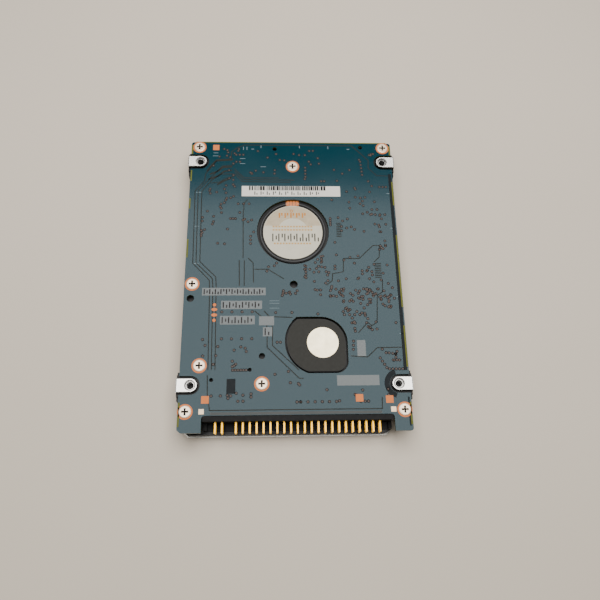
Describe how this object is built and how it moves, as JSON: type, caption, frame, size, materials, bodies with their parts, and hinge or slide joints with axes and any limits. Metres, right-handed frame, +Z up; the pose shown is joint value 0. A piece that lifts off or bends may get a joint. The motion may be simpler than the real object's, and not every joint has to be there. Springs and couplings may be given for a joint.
{
  "type": "hard disk drive",
  "caption": "Laptop hard disk drive lying on its cover with the teal circuit board up and a parallel pin header at one end.",
  "frame": {"origin": "centre of the footprint, on the outer face of the top cover, which the drive lies on", "axes": "+X across the width, +Y from the pin header to the far end, +Z up through the circuit board"},
  "size_m": [0.0698, 0.1, 0.0095],
  "materials": {
    "base_casting": "die-cast aluminium with a black electrocoat, machined bright on the four landings",
    "top_cover": "pressed stainless steel",
    "cover_screws": "nickel plated",
    "cover_label": null,
    "cover_gasket": "black foam rubber",
    "motor_bracket": "dark grey coated aluminium",
    "motor_label": "silvered film disc",
    "motor_flex": "polyimide film with copper leads",
    "bearing_sleeve": "turned bronze",
    "stator_core": "stacked silicon steel",
    "stator_windings": "enamelled copper wire",
    "pivot_shaft": "ground steel",
    "pivot_inner_races": "ground bearing steel",
    "pivot_balls": "polished bearing steel",
    "pivot_screw": "nickel plated",
    "lower_yoke": "nickel plated steel",
    "upper_yoke": "nickel plated steel",
    "lower_magnet": "nickel plated neodymium",
    "upper_magnet": "nickel plated neodymium",
    "yoke_posts": "turned steel",
    "head_ramp": "moulded liquid crystal polymer",
    "ramp_screw": "nickel plated",
    "latch_pin": "turned steel",
    "head_flex_cable": "polyimide film with copper tracks",
    "flex_bracket": "stamped steel",
    "head_connector": "moulded polymer",
    "recirculation_filter": "white electret felt",
    "breather_filter": "white membrane",
    "desiccant_pack": "white permeable film",
    "circuit_board": "teal solder resist on glass epoxy laminate",
    "board_screws": "bright nickel plate",
    "controller_chip": "black moulded package",
    "buffer_memory_chip": "black moulded package",
    "motor_driver_chip": "black moulded package",
    "board_small_parts": "fired ceramic chips",
    "panel_film": "dark grey film",
    "access_hole_seal": "cream adhesive disc",
    "barcode_label": null,
    "connector_housing": "black moulded polymer",
    "connector_pins": "gold flashed",
    "jumper_pins": "gold flashed",
    "spindle_hub": "diamond turned",
    "spindle_shaft": "ground steel",
    "rotor_magnet": "bonded neodymium ring",
    "platter_a": "sputtered disk, mirror smooth",
    "platter_b": "sputtered disk, mirror smooth",
    "platter_spacer": "turned ring",
    "disk_clamp": "turned cap",
    "clamp_screw": "nickel plated",
    "actuator_arm_block": "machined and nickel plated",
    "pivot_sleeve": "turned steel",
    "pivot_outer_races": "ground bearing steel",
    "suspensions": "thin rolled stainless steel",
    "head_sliders": "lapped alumina and titanium carbide",
    "voice_coil": "bonded copper wire",
    "coil_overmould": "glass filled polymer",
    "latch_lever": "moulded acetal"
  },
  "bodies": {
    "chassis": {"base_casting": "base_casting", "top_cover": "top_cover", "cover_screws": "cover_screws", "cover_label": "cover_label", "cover_gasket": "cover_gasket", "motor_bracket": "motor_bracket", "motor_label": "motor_label", "motor_flex": "motor_flex", "bearing_sleeve": "bearing_sleeve", "stator_core": "stator_core", "stator_windings": "stator_windings", "pivot_shaft": "pivot_shaft", "pivot_inner_races": "pivot_inner_races", "pivot_balls": "pivot_balls", "pivot_screw": "pivot_screw", "lower_yoke": "lower_yoke", "upper_yoke": "upper_yoke", "lower_magnet": "lower_magnet", "upper_magnet": "upper_magnet", "yoke_posts": "yoke_posts", "head_ramp": "head_ramp", "ramp_screw": "ramp_screw", "latch_pin": "latch_pin", "head_flex_cable": "head_flex_cable", "flex_bracket": "flex_bracket", "head_connector": "head_connector", "recirculation_filter": "recirculation_filter", "breather_filter": "breather_filter", "desiccant_pack": "desiccant_pack", "circuit_board": "circuit_board", "board_screws": "board_screws", "controller_chip": "controller_chip", "buffer_memory_chip": "buffer_memory_chip", "motor_driver_chip": "motor_driver_chip", "board_small_parts": "board_small_parts", "panel_film": "panel_film", "access_hole_seal": "access_hole_seal", "barcode_label": "barcode_label", "connector_housing": "connector_housing", "connector_pins": "connector_pins", "jumper_pins": "jumper_pins"},
    "rotor": {"spindle_hub": "spindle_hub", "spindle_shaft": "spindle_shaft", "rotor_magnet": "rotor_magnet", "platter_a": "platter_a", "platter_b": "platter_b", "platter_spacer": "platter_spacer", "disk_clamp": "disk_clamp", "clamp_screw": "clamp_screw"},
    "head_stack": {"actuator_arm_block": "actuator_arm_block", "pivot_sleeve": "pivot_sleeve", "pivot_outer_races": "pivot_outer_races", "suspensions": "suspensions", "head_sliders": "head_sliders", "voice_coil": "voice_coil", "coil_overmould": "coil_overmould"},
    "latch": {"latch_lever": "latch_lever"}
  },
  "joints": [
    {"name": "spindle_spin", "type": "hinge", "parent": "chassis", "child": "rotor", "pos_m": [0, 0.01435, 0.0036], "axis": [0, 0, 1], "continuous": true},
    {"name": "head_swing", "type": "hinge", "parent": "chassis", "child": "head_stack", "pos_m": [0.00854, -0.02316, 0.0036], "axis": [0, 0, -1], "range_deg": [0, 37], "deforming": ["head_flex_cable"]},
    {"name": "latch_swing", "type": "hinge", "parent": "chassis", "child": "latch", "pos_m": [0.0299, -0.0256, 0.0036], "axis": [0, 0, 1], "range_deg": [0, 12], "stiffness_Nm_per_rad": 0.00002}
  ]
}
